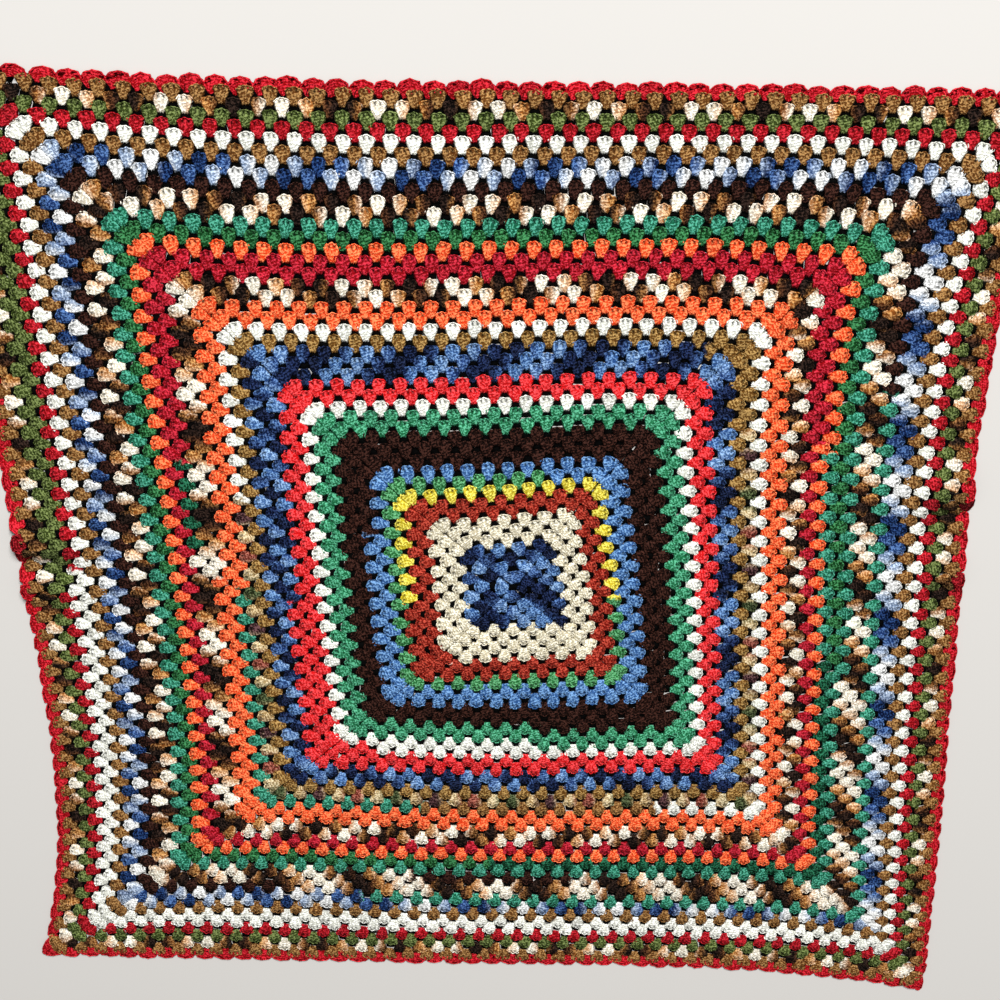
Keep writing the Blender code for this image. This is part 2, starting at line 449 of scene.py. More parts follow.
# %% [markdown]
# ## Where each cluster stands
#
# Lap m has m clusters on each side, so the fabric grows by four clusters a lap and stays flat.
# A cluster's foot is hooked into the gap of the lap inside it, nearly a row further in, and its
# loops reach most of a row out.  The foot and the top are both found on the layout, which turns,
# tilts and stretches every copy to suit the bows and the ridges.

# %% Stand the clusters along the spiral
# How far, in laps, a top and a foot reach, and how wide a cluster is worked, at the middle of
# the blanket and at its edge.  The middle was worked tighter, so its gaps show more.
TOP_REACH = (0.69, 0.74)
FOOT_REACH = (0.80, 0.92)
WORKED_WIDTH = (1.08, 1.0)
# A cluster at a corner has its foot less deep in the gap and a little away from the corner.
# Its top fans out towards the corner and is wider.  The second values are for its neighbour.
CORNER_FOOT_RISE = 0.17
CORNER_FOOT_SHIFT = 0.05
CORNER_TOP_SHIFT = (0.19, 0.07)
CORNER_SWELL = (1.12, 1.08)
# The first cluster of each side is wider still.
FIRST_SWELL = 1.14
LAST_LAP = {"right": 46, "bottom": 46, "left": 46, "top": 45}
# The spiral's last two clusters turn the top left corner, and start one more lap of the top.
SPIRAL_END = {"top": [(46, 0), (46, 1)]}
Standing = namedtuple("Standing", "foot top across lap number order")


def stand(side, laps, numbers):
    """The foot, the top and the pitch across of these clusters of one side."""
    from_middle = numbers + 0.5 - laps / 2.0
    from_corner = np.minimum(numbers, laps - 1 - numbers)
    top_reach, foot_reach, worked = (
        np.interp(laps, (1, LAST_LAP["right"]), ends)
        for ends in (TOP_REACH, FOOT_REACH, WORKED_WIDTH)
    )
    top_lap = laps + top_reach
    foot_lap = laps - foot_reach + np.where(from_corner == 0, CORNER_FOOT_RISE, 0.0)
    to_corner = np.sign(from_middle)
    top_shift = np.select([from_corner == 0, from_corner == 1], CORNER_TOP_SHIFT, 0.0)
    foot_shift = np.where(from_corner == 0, CORNER_FOOT_SHIFT, 0.0)
    top = place(side, top_lap, 0.5 + (from_middle + to_corner * top_shift) / top_lap)
    foot = place(side, foot_lap, 0.5 + (from_middle - to_corner * foot_shift) / foot_lap)
    before = place(side, laps, 0.5 + (from_middle - 0.5) / laps)
    after = place(side, laps, 0.5 + (from_middle + 0.5) / laps)
    swell = worked * np.select([from_corner == 0, from_corner == 1], CORNER_SWELL, 1.0)
    swell = (swell * np.where(numbers == 0, FIRST_SWELL, 1.0))[:, None]
    order = 2 * laps * (laps - 1) + SIDES.index(side) * laps + numbers
    return Standing(foot, top, (after - before) * swell, laps, numbers, order)


standing = {}
for side in SIDES:
    whole = [(lap, number) for lap in range(1, LAST_LAP[side] + 1) for number in range(lap)]
    laps, numbers = np.array(whole + SPIRAL_END.get(side, []), float).T
    standing[side] = stand(side, laps, numbers)
print("clusters:", {side: len(some.lap) for side, some in standing.items()})

# %% [markdown]
# ## The yarns
#
# The maker used up many balls of yarn, changing wherever one ran out.  So the colours follow the
# thread and not the rows: each change is written as the lap, the side and how far along it.
# Variegated yarn is dyed in lengths that repeat, and as a cluster takes the same length of
# thread each time, its colours come round every four to six clusters.

# %% The colours of each yarn
# The colours are display values from 0 to 255.  A variegated yarn has several, each with the
# number of clusters that it lasts.
YARNS = {
    "edging red": ((1.0, (196, 28, 44)),),
    "tan": ((1.0, (158, 118, 68)),),
    "olive gold": ((1.0, (164, 130, 74)),),
    "olive": ((1.0, (110, 124, 68)),),
    "deep red": ((1.0, (185, 28, 42)),),
    "white": ((1.0, (246, 246, 238)),),
    "dark brown": ((1.0, (54, 22, 10)),),
    "teal": ((1.0, (72, 156, 130)),),
    "mid green": ((1.0, (54, 122, 72)),),
    "dark green": ((1.0, (30, 102, 72)),),
    "orange": ((1.0, (250, 128, 78)),),
    "crimson": ((1.0, (188, 34, 54)),),
    "cornflower": ((1.0, (108, 150, 196)),),
    "sea green": ((1.0, (82, 166, 128)),),
    "bright red": ((1.0, (234, 66, 70)),),
    "yellow": ((1.0, (236, 222, 96)),),
    "grass green": ((1.0, (94, 164, 112)),),
    "rust": ((1.0, (174, 62, 44)),),
    "cream": ((1.0, (236, 229, 208)),),
    "navy variegated": (
        (1.0, (106, 144, 190)), (0.7, (136, 168, 206)), (0.6, (80, 114, 166)),
        (0.85, (24, 42, 84)), (0.95, (18, 32, 66)), (0.3, (50, 80, 136)),
    ),
    "brown variegated": (
        (1.4, (246, 240, 226)), (0.4, (240, 208, 176)), (0.6, (198, 146, 84)),
        (0.4, (98, 56, 26)), (1.2, (38, 20, 10)), (0.4, (182, 126, 66)),
    ),
    "brown variegated tight": (
        (1.3, (246, 240, 226)), (0.4, (240, 208, 176)), (0.55, (198, 146, 84)),
        (0.4, (98, 56, 26)), (1.13, (38, 20, 10)), (0.4, (182, 126, 66)),
    ),
    "blue variegated": (
        (1.1, (28, 60, 110)), (0.9, (76, 110, 162)), (0.7, (172, 188, 210)),
        (1.5, (240, 240, 238)), (0.7, (172, 188, 210)),
    ),
    "camo variegated": (
        (0.9, (222, 202, 162)), (1.1, (92, 60, 62)), (0.9, (208, 184, 140)),
        (1.1, (86, 98, 62)), (0.9, (222, 204, 166)), (1.1, (160, 92, 76)),
    ),
}
repeats = {name: sum(length for length, _ in stops) for name, stops in YARNS.items()}
print("repeats in clusters:", {name: round(r, 2) for name, r in repeats.items() if r > 1.0})

# %% Where each yarn starts
# fraction is how far along that side the change lies, and shift is how many clusters into its
# repeat a variegated yarn starts.
Change = namedtuple("Change", "lap side fraction yarn shift")
CHANGES = (
    Change(1, "right", 0.0, "navy variegated", 2.8),
    Change(5, "bottom", 0.0, "cream", 0.0),
    Change(8, "bottom", 0.88, "rust", 0.0),
    Change(10, "left", 0.42, "yellow", 0.0),
    Change(11, "right", 0.58, "grass green", 0.0),
    Change(11, "top", 0.72, "cornflower", 0.0),
    Change(13, "left", 0.72, "dark brown", 0.0),
    Change(16, "bottom", 0.43, "sea green", 0.0),
    Change(18, "bottom", 0.45, "white", 0.0),
    Change(19, "bottom", 0.89, "bright red", 0.0),
    Change(21, "left", 0.44, "navy variegated", 3.74),
    Change(23, "top", 0.93, "olive gold", 0.0),
    Change(25, "right", 0.17, "camo variegated", 0.0),
    Change(25, "left", 0.66, "white", 0.0),
    Change(26, "bottom", 0.21, "tan", 0.0),
    Change(26, "bottom", 0.68, "teal", 0.0),
    Change(26, "left", 0.47, "orange", 0.0),
    Change(28, "left", 0.49, "brown variegated", 0.0),
    Change(30, "left", 0.53, "dark green", 0.0),
    Change(30, "left", 0.69, "crimson", 0.0),
    Change(32, "right", 0.26, "orange", 0.0),
    Change(33, "right", 0.28, "teal", 0.0),
    Change(33, "right", 0.61, "dark green", 0.0),
    Change(33, "bottom", 0.53, "mid green", 0.0),
    Change(34, "right", 0.62, "teal", 0.0),
    Change(35, "right", 0.63, "brown variegated", 0.0),
    Change(35, "bottom", 0.405, "dark brown", 0.0),
    Change(35, "bottom", 0.64, "brown variegated", 0.0),
    Change(37, "bottom", 0.805, "dark brown", 0.0),
    Change(38, "right", 0.23, "teal", 0.0),
    Change(38, "bottom", 0.69, "blue variegated", 0.0),
    Change(40, "bottom", 0.0, "tan", 0.0),
    Change(41, "bottom", 0.0, "white", 0.0),
    Change(42, "left", 0.49, "deep red", 0.0),
    Change(43, "left", 0.466, "olive", 0.0),
    Change(44, "top", 0.0, "brown variegated", 1.6),
    Change(45, "right", 0.0, "brown variegated tight", 1.6),
    Change(45, "top", 0.0, "tan", 0.0),
)


def start_order(change):
    """A change's place along the thread, counted in clusters from the start of the spiral."""
    before = 2 * change.lap * (change.lap - 1)
    return before + (SIDES.index(change.side) + change.fraction) * change.lap


CHANGE_ORDERS = np.array([start_order(change) for change in CHANGES])
print("thread is", len(CHANGES), "lengths, the last from cluster", round(CHANGE_ORDERS[-1]))


# %% Look up the colour of any stretch of thread
# Two dyed colours run into each other over this many clusters on each side of where they meet.
BLEND = 0.26


def linear(colour):
    """Display values from 0 to 255 as the linear ones that shaders use."""
    c = np.asarray(colour, float) / 255.0
    return np.where(c <= 0.04045, c / 12.92, ((c + 0.055) / 1.055) ** 2.4)


def run_into(distance):
    """How much of the next colour shows at this distance from where the two meet."""
    return (0.5 * np.clip(1.0 - distance / BLEND, 0.0, 1.0))[:, None]


def thread_colour(order):
    """The linear colour at these places along the thread, counted in clusters."""
    which = np.searchsorted(CHANGE_ORDERS, order, side="right") - 1
    which = np.clip(which, 0, len(CHANGES) - 1)
    colour = np.zeros(order.shape + (3,))
    for k, change in enumerate(CHANGES):
        here = which == k
        stops = YARNS[change.yarn]
        lengths = np.array([length for length, _ in stops])
        tints = linear([tint for _, tint in stops])
        at = np.mod(order[here] - CHANGE_ORDERS[k] + change.shift, lengths.sum())
        ends = np.cumsum(lengths)
        stop = np.minimum(np.searchsorted(ends, at, side="right"), len(stops) - 1)
        after = run_into(ends[stop] - at)
        before = run_into(at - (ends[stop] - lengths[stop]))
        colour[here] = (tints[stop] * (1.0 - after - before)
                        + tints[(stop + 1) % len(stops)] * after + tints[stop - 1] * before)
    return colour


print("the first four clusters:", thread_colour(np.arange(4.0)).round(2).tolist())

# %% [markdown]
# ## From templates to meshes
#
# Blender's instances could repeat a template too, but joined meshes can be read by any program.
# Every copy gets its own small turn, shift and swell, because no two hand-made stitches match.
# The copies are joined in eight pieces, one for each half side, from the middle of the blanket
# out to the edge.  So each piece is a plain triangle of the cloth, small enough to handle, and
# all eight are alike in size.

# %% Lay copies of a template
# How much a stitch varies: in size (across, outward and up), in turn and in place.
SIZE_VARIATION = 0.04
SIZE_SHARES = (1.0, 0.6, 0.8)
TURN_VARIATION = 0.07
SHIFT_VARIATION = 0.0005
# It turns about a point this share of its height from its foot.
PIVOT_SHARE = 0.45
LOWEST_YARN = 0.0002
# The first cluster after a corner lies a little over the last one before it.
CORNER_LIFT = 0.0008
# The foot's loops at a corner are longer, because the clusters fan out there.
CORNER_FOOT_WIDTH = 1.25


def chosen_from(places, chosen):
    """The standing places of some of the clusters or shells."""
    return Standing(*(part[chosen] for part in places))


def copies(shapes, height, some, tints, crease, vary):
    """The points, and the colours and the painted shade of the creases, of one copy at each of
    some standing places.
    """
    many = len(some.foot)
    pick = vary.integers(0, VARIANTS, many)
    if len(shapes) > VARIANTS:
        pick = pick + VARIANTS * (some.lap <= TIGHT_LAPS)
    local = np.stack([shape.points for shape in shapes])[pick]
    at_corner = np.minimum(some.number, some.lap - 1 - some.number) <= 1
    local[at_corner, -FOOT_LOOP_POINTS:, 0] *= CORNER_FOOT_WIDTH
    worked = local[:, :-FOOT_LOOP_POINTS]
    worked *= 1.0 + vary.normal(0.0, SIZE_VARIATION, (many, 1, 3)) * SIZE_SHARES
    angle = vary.normal(0.0, TURN_VARIATION, many)[:, None]
    pivot = PIVOT_SHARE * height
    x, y = worked[..., 0].copy(), worked[..., 1] - pivot
    worked[..., 0] = x * np.cos(angle) - y * np.sin(angle)
    worked[..., 1] = x * np.sin(angle) + y * np.cos(angle) + pivot
    worked[..., :2] += vary.normal(0.0, SHIFT_VARIATION, (many, 1, 2))
    worked[..., 2] += np.where(some.number == 0, CORNER_LIFT, 0.0)[:, None]
    outward = some.top - some.foot
    length = np.linalg.norm(outward, axis=1, keepdims=True)
    forward = outward / length
    across = some.across - forward * (some.across * forward).sum(1, keepdims=True)
    pitch = np.linalg.norm(across, axis=1, keepdims=True)
    sideways = across / pitch
    up = np.cross(sideways, forward)
    points = (
        some.foot[:, None]
        + local[..., :1] * (sideways * pitch / PITCH)[:, None]
        + local[..., 1:2] * (forward * length / height)[:, None]
        + local[..., 2:] * up[:, None]
    )
    points[..., 2] = np.maximum(points[..., 2], LOWEST_YARN)
    shade = np.broadcast_to(shapes[0].shade, (many, len(shapes[0].points)))
    shade = np.clip(shade + crease, 0.0, 1.0)
    return points, np.concatenate([tints, shade[..., None]], -1)


# %% [markdown]
# ## One mesh of many copies
#
# The mesh is filled in with a few large arrays, which is the quick way to make one from numpy.
# It carries three things besides its points: the yarn's colour with the painted shade of its
# creases as its fourth value, the place of each corner on the ply, and a map named OFBake.  The
# map gives every copy its own square, and every part its own strip in it, so that nothing
# overlaps and the colours can be baked for programs without these nodes.

# %% Join the copies in one mesh
# Each copy's plies start this share of a turn after those of the one before it.
PLY_STEP = 0.37


def joined(name, shape, points, yarn):
    """A mesh object of all the copies, with its colours, its ply and its baking map."""
    many, each = points.shape[:2]
    copy = np.arange(many)
    sizes = np.array([len(face) for face in shape.faces])
    corners = np.concatenate([np.array(face) for face in shape.faces])
    mesh = bpy.data.meshes.new(name)
    mesh.vertices.add(many * each)
    mesh.vertices.foreach_set("co", points.astype(np.float32).ravel())
    mesh.loops.add(many * len(corners))
    all_corners = (copy[:, None] * each + corners).astype(np.int32)
    mesh.loops.foreach_set("vertex_index", all_corners.ravel())
    mesh.polygons.add(many * len(sizes))
    starts = np.concatenate([[0], np.cumsum(sizes)[:-1]])
    all_starts = (copy[:, None] * len(corners) + starts).astype(np.int32)
    mesh.polygons.foreach_set("loop_start", all_starts.ravel())
    mesh.polygons.foreach_set("loop_total", np.tile(sizes, many).astype(np.int32))
    mesh.update(calc_edges=True)
    mesh.shade_smooth()
    tint = mesh.attributes.new("yarn", "FLOAT_COLOR", "POINT")
    tint.data.foreach_set("color", yarn.astype(np.float32).ravel())
    ply = np.zeros((many, len(corners), 3), np.float32)
    ply[..., :2] = shape.ply
    ply[..., 2] = copy[:, None] * PLY_STEP % 1.0
    twist = mesh.attributes.new("ply", "FLOAT_VECTOR", "CORNER")
    twist.data.foreach_set("vector", ply.ravel())
    across = math.ceil(math.sqrt(many))
    square = np.stack([copy % across, copy // across], 1)
    places = (square[:, None] + shape.cells) / across
    mesh.uv_layers.new(name="OFBake").data.foreach_set("uv", places.astype(np.float32).ravel())
    made = bpy.data.objects.new(name, mesh)
    bpy.context.scene.collection.objects.link(made)
    print(name, "copies", many, "triangles", int(many * (sizes - 2).sum()))
    return made


# %% [markdown]
# ## Shader maths as expressions
#
# Node trees are easier to read when they are written as sums.  This small class wraps a node's
# output, and each operator adds the Math node that does it.  Everything else, such as a noise
# texture, comes from one method that takes the node's type, its settings and its inputs.

# %% A socket that can be added and multiplied
class Wire:
    def __init__(self, tree, socket):
        self.tree, self.socket = tree, socket

    def node(self, kind, settings=None, output=0, **inputs):
        """A new node.  Inputs go by name, or as i0, i1 and so on where names are shared."""
        made = self.tree.nodes.new(kind)
        for name, value in (settings or {}).items():
            setattr(made, name, value)
        for name, value in inputs.items():
            key = int(name[1:]) if name[0] == "i" and name[1:].isdigit() else name.replace("_", " ")
            if isinstance(value, Wire):
                self.tree.links.new(value.socket, made.inputs[key])
            else:
                made.inputs[key].default_value = value
        return Wire(self.tree, made.outputs[output])

    def other(self, output):
        """Another output of the same node."""
        return Wire(self.tree, self.socket.node.outputs[output])

    def math(self, operation, a, b=0.0):
        return self.node("ShaderNodeMath", {"operation": operation}, i0=a, i1=b)

    def __add__(self, other):
        return self.math("ADD", self, other)

    def __sub__(self, other):
        return self.math("SUBTRACT", self, other)

    def __rsub__(self, other):
        return self.math("SUBTRACT", other, self)

    def __mul__(self, other):
        return self.math("MULTIPLY", self, other)

    __radd__, __rmul__ = __add__, __mul__

    def vector(self, operation, *values):
        """Vector maths on colours: this one and up to two more."""
        inputs = {f"i{k}": value for k, value in enumerate((self,) + values)}
        return self.node("ShaderNodeVectorMath", {"operation": operation}, **inputs)

    def tinted(self, value):
        """This colour, multiplied by a value."""
        return self.vector("MULTIPLY", self.node("ShaderNodeCombineXYZ", X=value, Y=value, Z=value))


# %% [markdown]
# ## The yarn
#
# Acrylic yarn is dull and a little fluffy, with plies twisted round each other.  Its strands are
# too fine to model on thousands of stitches, so they are noise in the shader.  The colour comes
# from the thread table, is darkened with painted shade in the creases, and is broken up by strands
# and fine fibres, with painted shade in the gaps between strands, and painted light and a little
# painted sheen on their tops.  That painted shade between strands is darkest on dark yarn,
# because bright yarn scatters light into its own creases.  The bump has the twist of the plies,
# which follows each tube, the strands, and fine noise for the fluff.

# %% The yarn material
# How many plies there are, and the length in which they turn once.
PLIES = 2.0
PLY_TURN_LENGTH = 0.0042
# Noise for the fibres and the strands, in lumps to a metre, how soft a strand's edge is, and how
# much the twist shifts it.
FIBRE_SCALE = 1400.0
STRAND_SCALE = 400.0
STRAND_EDGE = 0.10
STRAND_TWIST = 0.05
# How much painted shade lies between strands, and how much of that bright yarn wins back.
GAP_DARKNESS = 0.95
SCATTER = 0.85
# The tops of the strands are a little fluffy, and get a little painted sheen: their colour is
# mixed this far towards white.
FLUFF_SHEEN = 0.008
# The brightness of plain yarn, and what fibres and strands add to it.  What the strands add is
# painted light on their tops.
BASE_LIGHT, FIBRE_LIGHT, STRAND_LIGHT = 0.85, 0.4, 0.4
# Creases take this much of the light, as painted shade.  Past the first of the next two the
# light falls away, and from the second on only the least is left, so the foot's loops and the
# pits are painted near-black.
CREASE_DARKNESS = 0.97
DEEP_CREASE = (0.8, 0.95)
LEAST_LIGHT = 0.03
BASE_ROUGHNESS, FIBRE_ROUGHNESS = 0.78, 0.2
BUMP_HEIGHT = 0.0006
TWIST_BUMP, FIBRE_BUMP = 0.2, 0.5
SPECULAR_LEVEL = 0.08
WHITE = (1.0, 1.0, 1.0)


def yarn_material(name):
    material = bpy.data.materials.new(name)
    material.use_nodes = True
    tree = material.node_tree
    shader = tree.nodes["Principled BSDF"]
    shader.inputs["Specular IOR Level"].default_value = SPECULAR_LEVEL
    wire = Wire(tree, None)
    yarn = wire.node("ShaderNodeAttribute", {"attribute_name": "yarn"})
    # The yarn attribute's fourth value is the crease's painted shade.
    crease = yarn.other("Alpha")
    ply = wire.node("ShaderNodeAttribute", {"attribute_name": "ply"}, output="Vector")
    around = wire.node("ShaderNodeSeparateXYZ", Vector=ply)
    along, own = around.other("Y"), around.other("Z")
    spot = wire.node("ShaderNodeTexCoord", output="Object")

    twist = wire.math("SINE", (around * PLIES + along * (1.0 / PLY_TURN_LENGTH) + own) * math.tau)
    fibres = wire.node("ShaderNodeTexNoise", Vector=spot, Scale=FIBRE_SCALE, Detail=3.0,
                       Roughness=0.6)
    lumps = wire.node("ShaderNodeTexNoise", Vector=spot, Scale=STRAND_SCALE, Detail=1.0,
                      Roughness=0.5, Distortion=0.5)
    strands = wire.node("ShaderNodeMapRange", {"interpolation_type": "SMOOTHSTEP"},
                        i0=lumps + STRAND_TWIST * twist,
                        i1=0.5 - STRAND_EDGE, i2=0.5 + STRAND_EDGE, i3=0.0, i4=1.0)

    darkened = yarn.vector("MULTIPLY_ADD", (-SCATTER,) * 3, WHITE)
    lost = darkened.tinted(GAP_DARKNESS * (1.0 - strands))
    kept = wire.node("ShaderNodeVectorMath", {"operation": "SUBTRACT"}, i0=WHITE, i1=lost)
    fluff_sheened = wire.node("ShaderNodeMix", {"data_type": "RGBA"}, output=2,
                       i0=strands * FLUFF_SHEEN, i6=yarn, i7=WHITE + (1.0,))
    deep = wire.node("ShaderNodeMapRange", i0=crease, i1=DEEP_CREASE[0], i2=DEEP_CREASE[1],
                     i3=1.0, i4=LEAST_LIGHT)
    light = BASE_LIGHT + FIBRE_LIGHT * fibres + STRAND_LIGHT * strands
    light = light * (1.0 - CREASE_DARKNESS * crease) * deep
    colour = fluff_sheened.vector("MULTIPLY", kept).tinted(light)
    tree.links.new(colour.socket, shader.inputs["Base Color"])
    roughness = BASE_ROUGHNESS + FIBRE_ROUGHNESS * fibres
    tree.links.new(roughness.socket, shader.inputs["Roughness"])
    bump = wire.node("ShaderNodeBump", Strength=1.0, Distance=BUMP_HEIGHT,
                     Height=TWIST_BUMP * twist + FIBRE_BUMP * fibres + strands)
    tree.links.new(bump.socket, shader.inputs["Normal"])
    print(name, "has", len(tree.nodes), "nodes")
    return material


# %% [markdown]
# ## The hollows beside the ridges
#
# Between the ridges of the long edges the cloth lies in narrow hollows, where little light comes
# in.  Ridges as low as these don't shade them enough by themselves, so the yarn there is tinted
# darker.  It is done in the colours of the copies, because they are already worked out for each.

# %% How much light reaches a stitch
# Where a hollow lies along its side, how wide it is in metres, the lap that it starts from, and
# how much of the light it loses at the edge.
Hollow = namedtuple("Hollow", "side middle width first_lap loss")
HOLLOWS = (
    Hollow("left", 0.512, 0.017, 40.5, 0.70),
    Hollow("right", 0.390, 0.015, 41.5, 0.70),
    Hollow("right", 0.488, 0.014, 42.0, 0.60),
)


def light_kept(side, some):
    """The share of the light that reaches each cluster or shell of a side."""
    along = (some.number + 0.5) / some.lap
    kept = np.ones(len(along))
    for hollow in HOLLOWS:
        if hollow.side == side:
            loss = hollow.loss * grown(some.lap, hollow.first_lap)
            off = (along - hollow.middle) * some.lap * PITCH / hollow.width
            kept = kept * (1.0 - loss * np.exp(-(off**2)))
    return kept[:, None, None]


print("least light on the left side:", light_kept("left", standing["left"]).min().round(2))

# %% [markdown]
# ## The worked cloth
#
# Each half side becomes one piece.  The posts of one cluster take their colours one after the
# other along the thread, so a variegated yarn changes colour inside a cluster, as it does when
# it is crocheted.

# %% Build the eight pieces of worked cloth
# In clusters: how much thread lies between two posts, and how far the dye wanders.
THREAD_PER_POST = 0.3
THREAD_WANDER = 0.07
# How much each stitch's tint varies, and how much painted shade its creases get at random.
TINT_VARIATION = 0.05
CREASE_VARIATION = 0.05
cluster_yarn = yarn_material("acrylic_yarn")


def flat_area(side, some):
    """The cloth that these clusters take up: each its pitch across by one row outward."""
    before, middle, after = ((some.number + part) / some.lap for part in (0.0, 0.5, 1.0))
    across = place(side, some.lap, after) - place(side, some.lap, before)
    row = place(side, some.lap + 0.5, middle) - place(side, some.lap - 0.5, middle)
    return float(np.linalg.norm(np.cross(across, row), axis=1).sum())


def in_first_half(some):
    return some.number + 0.5 <= some.lap / 2.0


def varied(side, some, tints):
    """The tints of some stitches with each one's own small difference and the painted shade of
    the hollows, and the random painted shade of their creases.
    """
    tints = tints * (1.0 + rng.normal(0.0, TINT_VARIATION, (len(some.foot), 1, 1)))
    crease = np.abs(rng.normal(0.0, CREASE_VARIATION, (len(some.foot), 1)))
    return np.clip(tints * light_kept(side, some), 0.0, 1.0), crease


def cluster_piece(name, side, some):
    order = some.order[:, None] + 0.5 + THREAD_PER_POST * clusters[0].post[None]
    order = order + rng.normal(0.0, THREAD_WANDER, order.shape)
    tints, crease = varied(side, some, thread_colour(order))
    points, yarn = copies(clusters, HEIGHT, some, tints, crease, rng)
    piece = joined(name, clusters[0], points, yarn)
    piece.data.materials.append(cluster_yarn)
    return piece


for side in SIDES:
    first = in_first_half(standing[side])
    for half, chosen in (("first", first), ("second", ~first)):
        some = chosen_from(standing[side], chosen)
        piece = cluster_piece(f"clusters_{side}_{half}", side, some)
        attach(piece, "root")
        flat_area(side, some)
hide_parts("granny_cloth")

# %% [markdown]
# ## The shell edging
#
# The last round is a shell in each gap: five posts that fan out from one place, with a row of
# loops over them.  It is built in the same way as a cluster, only wider and lower.

# %% A shell's body
SHELL_HEIGHT = 0.0260
# The rim turns about this point, this far each way, and its loops lie just inside the height.
SHELL_MIDDLE = 0.0112
SHELL_TURN = math.radians(97.0)
RIM_INSET = 0.0016
SHELL_RIBS = 5
# Rings from the foot to the rim: the share of the way, then how high the underside, the sides,
# the ribs and the valleys stand in millimetres.  The shades say how much painted shade each
# gets for the crease it lies in.
ShellRing = namedtuple("ShellRing", "share under side rib valley")
SHELL_RINGS = (
    ShellRing(0.09, 0.5, 1.2, 2.0, 1.6),
    ShellRing(0.42, 0.4, 1.1, 2.1, 1.6),
    ShellRing(0.76, 0.3, 1.3, 3.0, 2.5),
    ShellRing(0.97, 0.3, 1.3, 2.8, 2.5),
)
SHELL_SHADES = {"under": 0.6, "side": 0.25, "rib": 0.0, "valley": 0.2}
SHELL_CELL = (0.02, 0.02, 0.74, 0.98)


def rim(t, row):
    """A point of the shell's outline; t goes from -1 at one end to 1 at the other."""
    rise = SHELL_HEIGHT - SHELL_MIDDLE - RIM_INSET
    across = row.half / 1000.0 * math.copysign(abs(math.sin(SHELL_TURN * t)) ** row.round, t)
    outward = SHELL_MIDDLE + rise * math.cos(SHELL_TURN * t)
    return np.array([across + row.lean * PITCH, outward, 0.0])


def add_shell_body(shape, vary, row):
    """The five posts, as one ribbed fan."""
    corners = [(0.0, "under"), (1.0, "side")]
    for k in range(1, 2 * SHELL_RIBS):
        corners.append((1.0 - k / SHELL_RIBS, "rib" if k % 2 else "valley"))
    corners.append((-1.0, "side"))
    rings = np.zeros((len(SHELL_RINGS), len(corners), 3))
    for k, ring in enumerate(SHELL_RINGS):
        for j, (t, part) in enumerate(corners):
            rings[k, j] = rim(t, row) * ring.share + (0.0, 0.0, getattr(ring, part) / 1000.0)
    rings += vary.normal(0.0, 1.0, rings.shape) * LUMP
    shade = np.tile([SHELL_SHADES[part] for _, part in corners], (len(SHELL_RINGS), 1))
    run = np.array([ring.share for ring in SHELL_RINGS]) * SHELL_HEIGHT
    shape.loft(rings, run, SHELL_CELL, np.zeros_like(shade), shade)


# %% A shell's loops, and whole shells
# The row of loops: how many steps it is swept in, where it lies as a share of the rim, how much
# it scallops, how high it and its ends lie, how far it wanders and how thick it is.
SHELL_LOOP_STEPS = 14
SHELL_LOOP_SHARE = 0.97
SHELL_SCALLOP = 0.03
SHELL_LOOP_LIFT = 0.0026
SHELL_LOOP_END_LIFT = 0.0018
SHELL_LOOP_WANDER = 0.00025
SHELL_LOOP_RADIUS = 0.0014
SHELL_LOOP_SIDES = 4
SHELL_LOOP_CELL = (0.78, 0.10, 0.98, 0.98)
# The foot's loops, outward and half width as in a cluster, and flatter.  Like those of a
# cluster they are drawn near-black with painted shade.
SHELL_FOOT_LOOPS = ((-0.0064, 0.0071), (0.0115, 0.0105))
SHELL_FOOT_FLATNESS = 0.05
SHELL_FOOT_CELL = (0.78, 0.02, 0.98, 0.08)


def add_shell_loops(shape, vary, row):
    """The loops along the rim, one scallop to a post."""
    path = []
    for k in range(SHELL_LOOP_STEPS + 1):
        t = -1.0 + 2.0 * k / SHELL_LOOP_STEPS
        scallop = 1.0 - SHELL_SCALLOP * math.cos(math.pi * SHELL_RIBS * (t + 1.0))
        path.append(rim(t, row) * SHELL_LOOP_SHARE * scallop + (0.0, 0.0, SHELL_LOOP_LIFT))
    path = np.array(path) + vary.normal(0.0, SHELL_LOOP_WANDER, (SHELL_LOOP_STEPS + 1, 3))
    path[[0, -1], 2] = SHELL_LOOP_END_LIFT
    add_tube(shape, path, SHELL_LOOP_RADIUS, SHELL_LOOP_SIDES, SHELL_LOOP_CELL, 0.0, 0.0)


def shell_shape(vary, row):
    """One shell of this row of the table below."""
    shape = Shape()
    add_shell_body(shape, vary, row)
    add_shell_loops(shape, vary, row)
    add_foot_loops_in_painted_shade(shape, SHELL_FOOT_LOOPS, SHELL_FOOT_CELL, SHELL_FOOT_FLATNESS)
    return shape.done()


# %% The shells of each side
# How many shells, how far out they reach in laps, how far they lean forward as a share of the
# pitch, half their width in millimetres, and how their outline is rounded: 1 is an arc, and
# less is squarer.
ShellRow = namedtuple("ShellRow", "side shells top_lap lean half round")
SHELL_ROWS = (
    ShellRow("right", 47, 47.46, 0.15, 16.2, 0.6),
    ShellRow("bottom", 47, 47.44, 0.10, 14.8, 0.9),
    ShellRow("left", 47, 47.50, 0.15, 16.2, 0.6),
    ShellRow("top", 46, 47.58, 0.30, 14.6, 0.9),
)
shells = [[shell_shape(rng, row) for _ in range(VARIANTS)] for row in SHELL_ROWS]
print("one shell:", sum(len(face) - 2 for face in shells[0][0].faces), "triangles")

# %% [markdown]
# ## The edging round the blanket
#
# Two shells share every corner, one on each side, and turn the edge round it.  At the top left
# corner the last round climbs over the end of the spiral, so its lap changes there.

# %% Stand the shells round the edge
SHELL_FOOT_LAP = 45.80
SHELL_MIDDLE_LAP = 46.8
